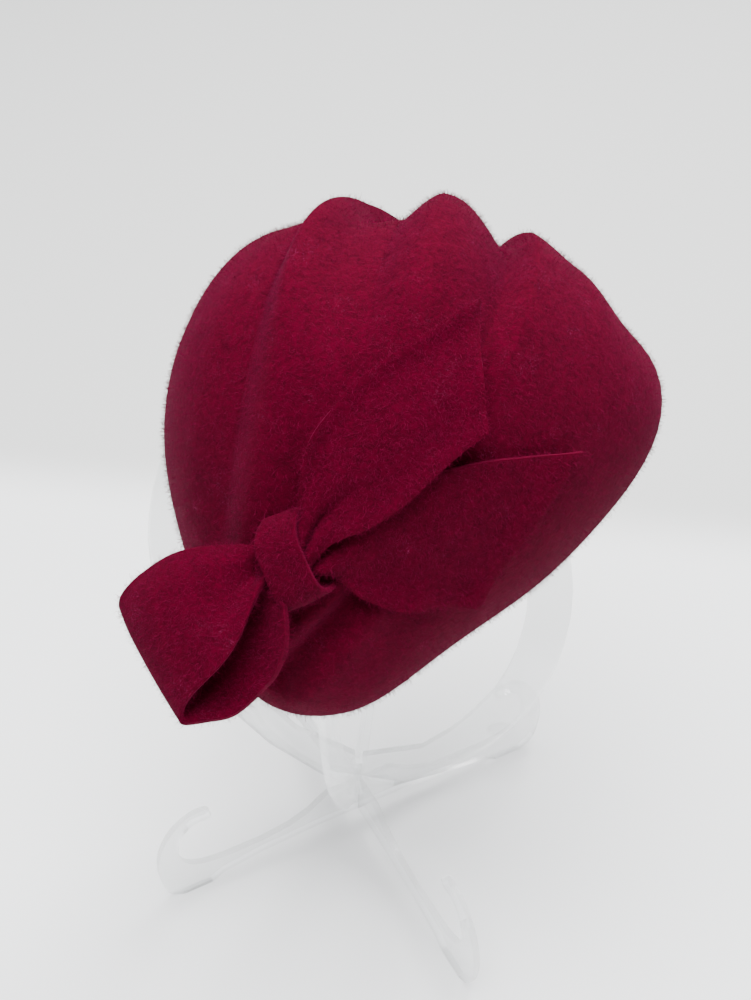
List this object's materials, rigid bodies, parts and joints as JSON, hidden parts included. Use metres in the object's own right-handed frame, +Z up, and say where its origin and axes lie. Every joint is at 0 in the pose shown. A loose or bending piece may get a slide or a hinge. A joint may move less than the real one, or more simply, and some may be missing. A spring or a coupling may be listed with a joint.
{
  "type": "half hat on a clear hat stand",
  "caption": "Pleated felt half hat with a flat bow of one loop, a band and two cut tails, set on a clear stand of two upright oval bands over scroll feet.",
  "frame": {"origin": "centre of the bounding box's footprint, at the surface the stand's feet rest on", "axes": "+Z up along the stand; -Y towards the side with the bow; +X towards the back point of the hat"},
  "size_m": [0.1928, 0.1918, 0.3017],
  "materials": {
    "felt": "matte wool felt",
    "clear": "clear polished"
  },
  "bodies": {
    "root": {"crown": "felt", "upper_tail": "felt", "lower_tail": "felt", "bow_loop": "felt", "knot_band": "felt", "balloon_band_a": "clear", "balloon_band_b": "clear", "foot_plate_a": "clear", "foot_plate_b": "clear"}
  },
  "joints": []
}
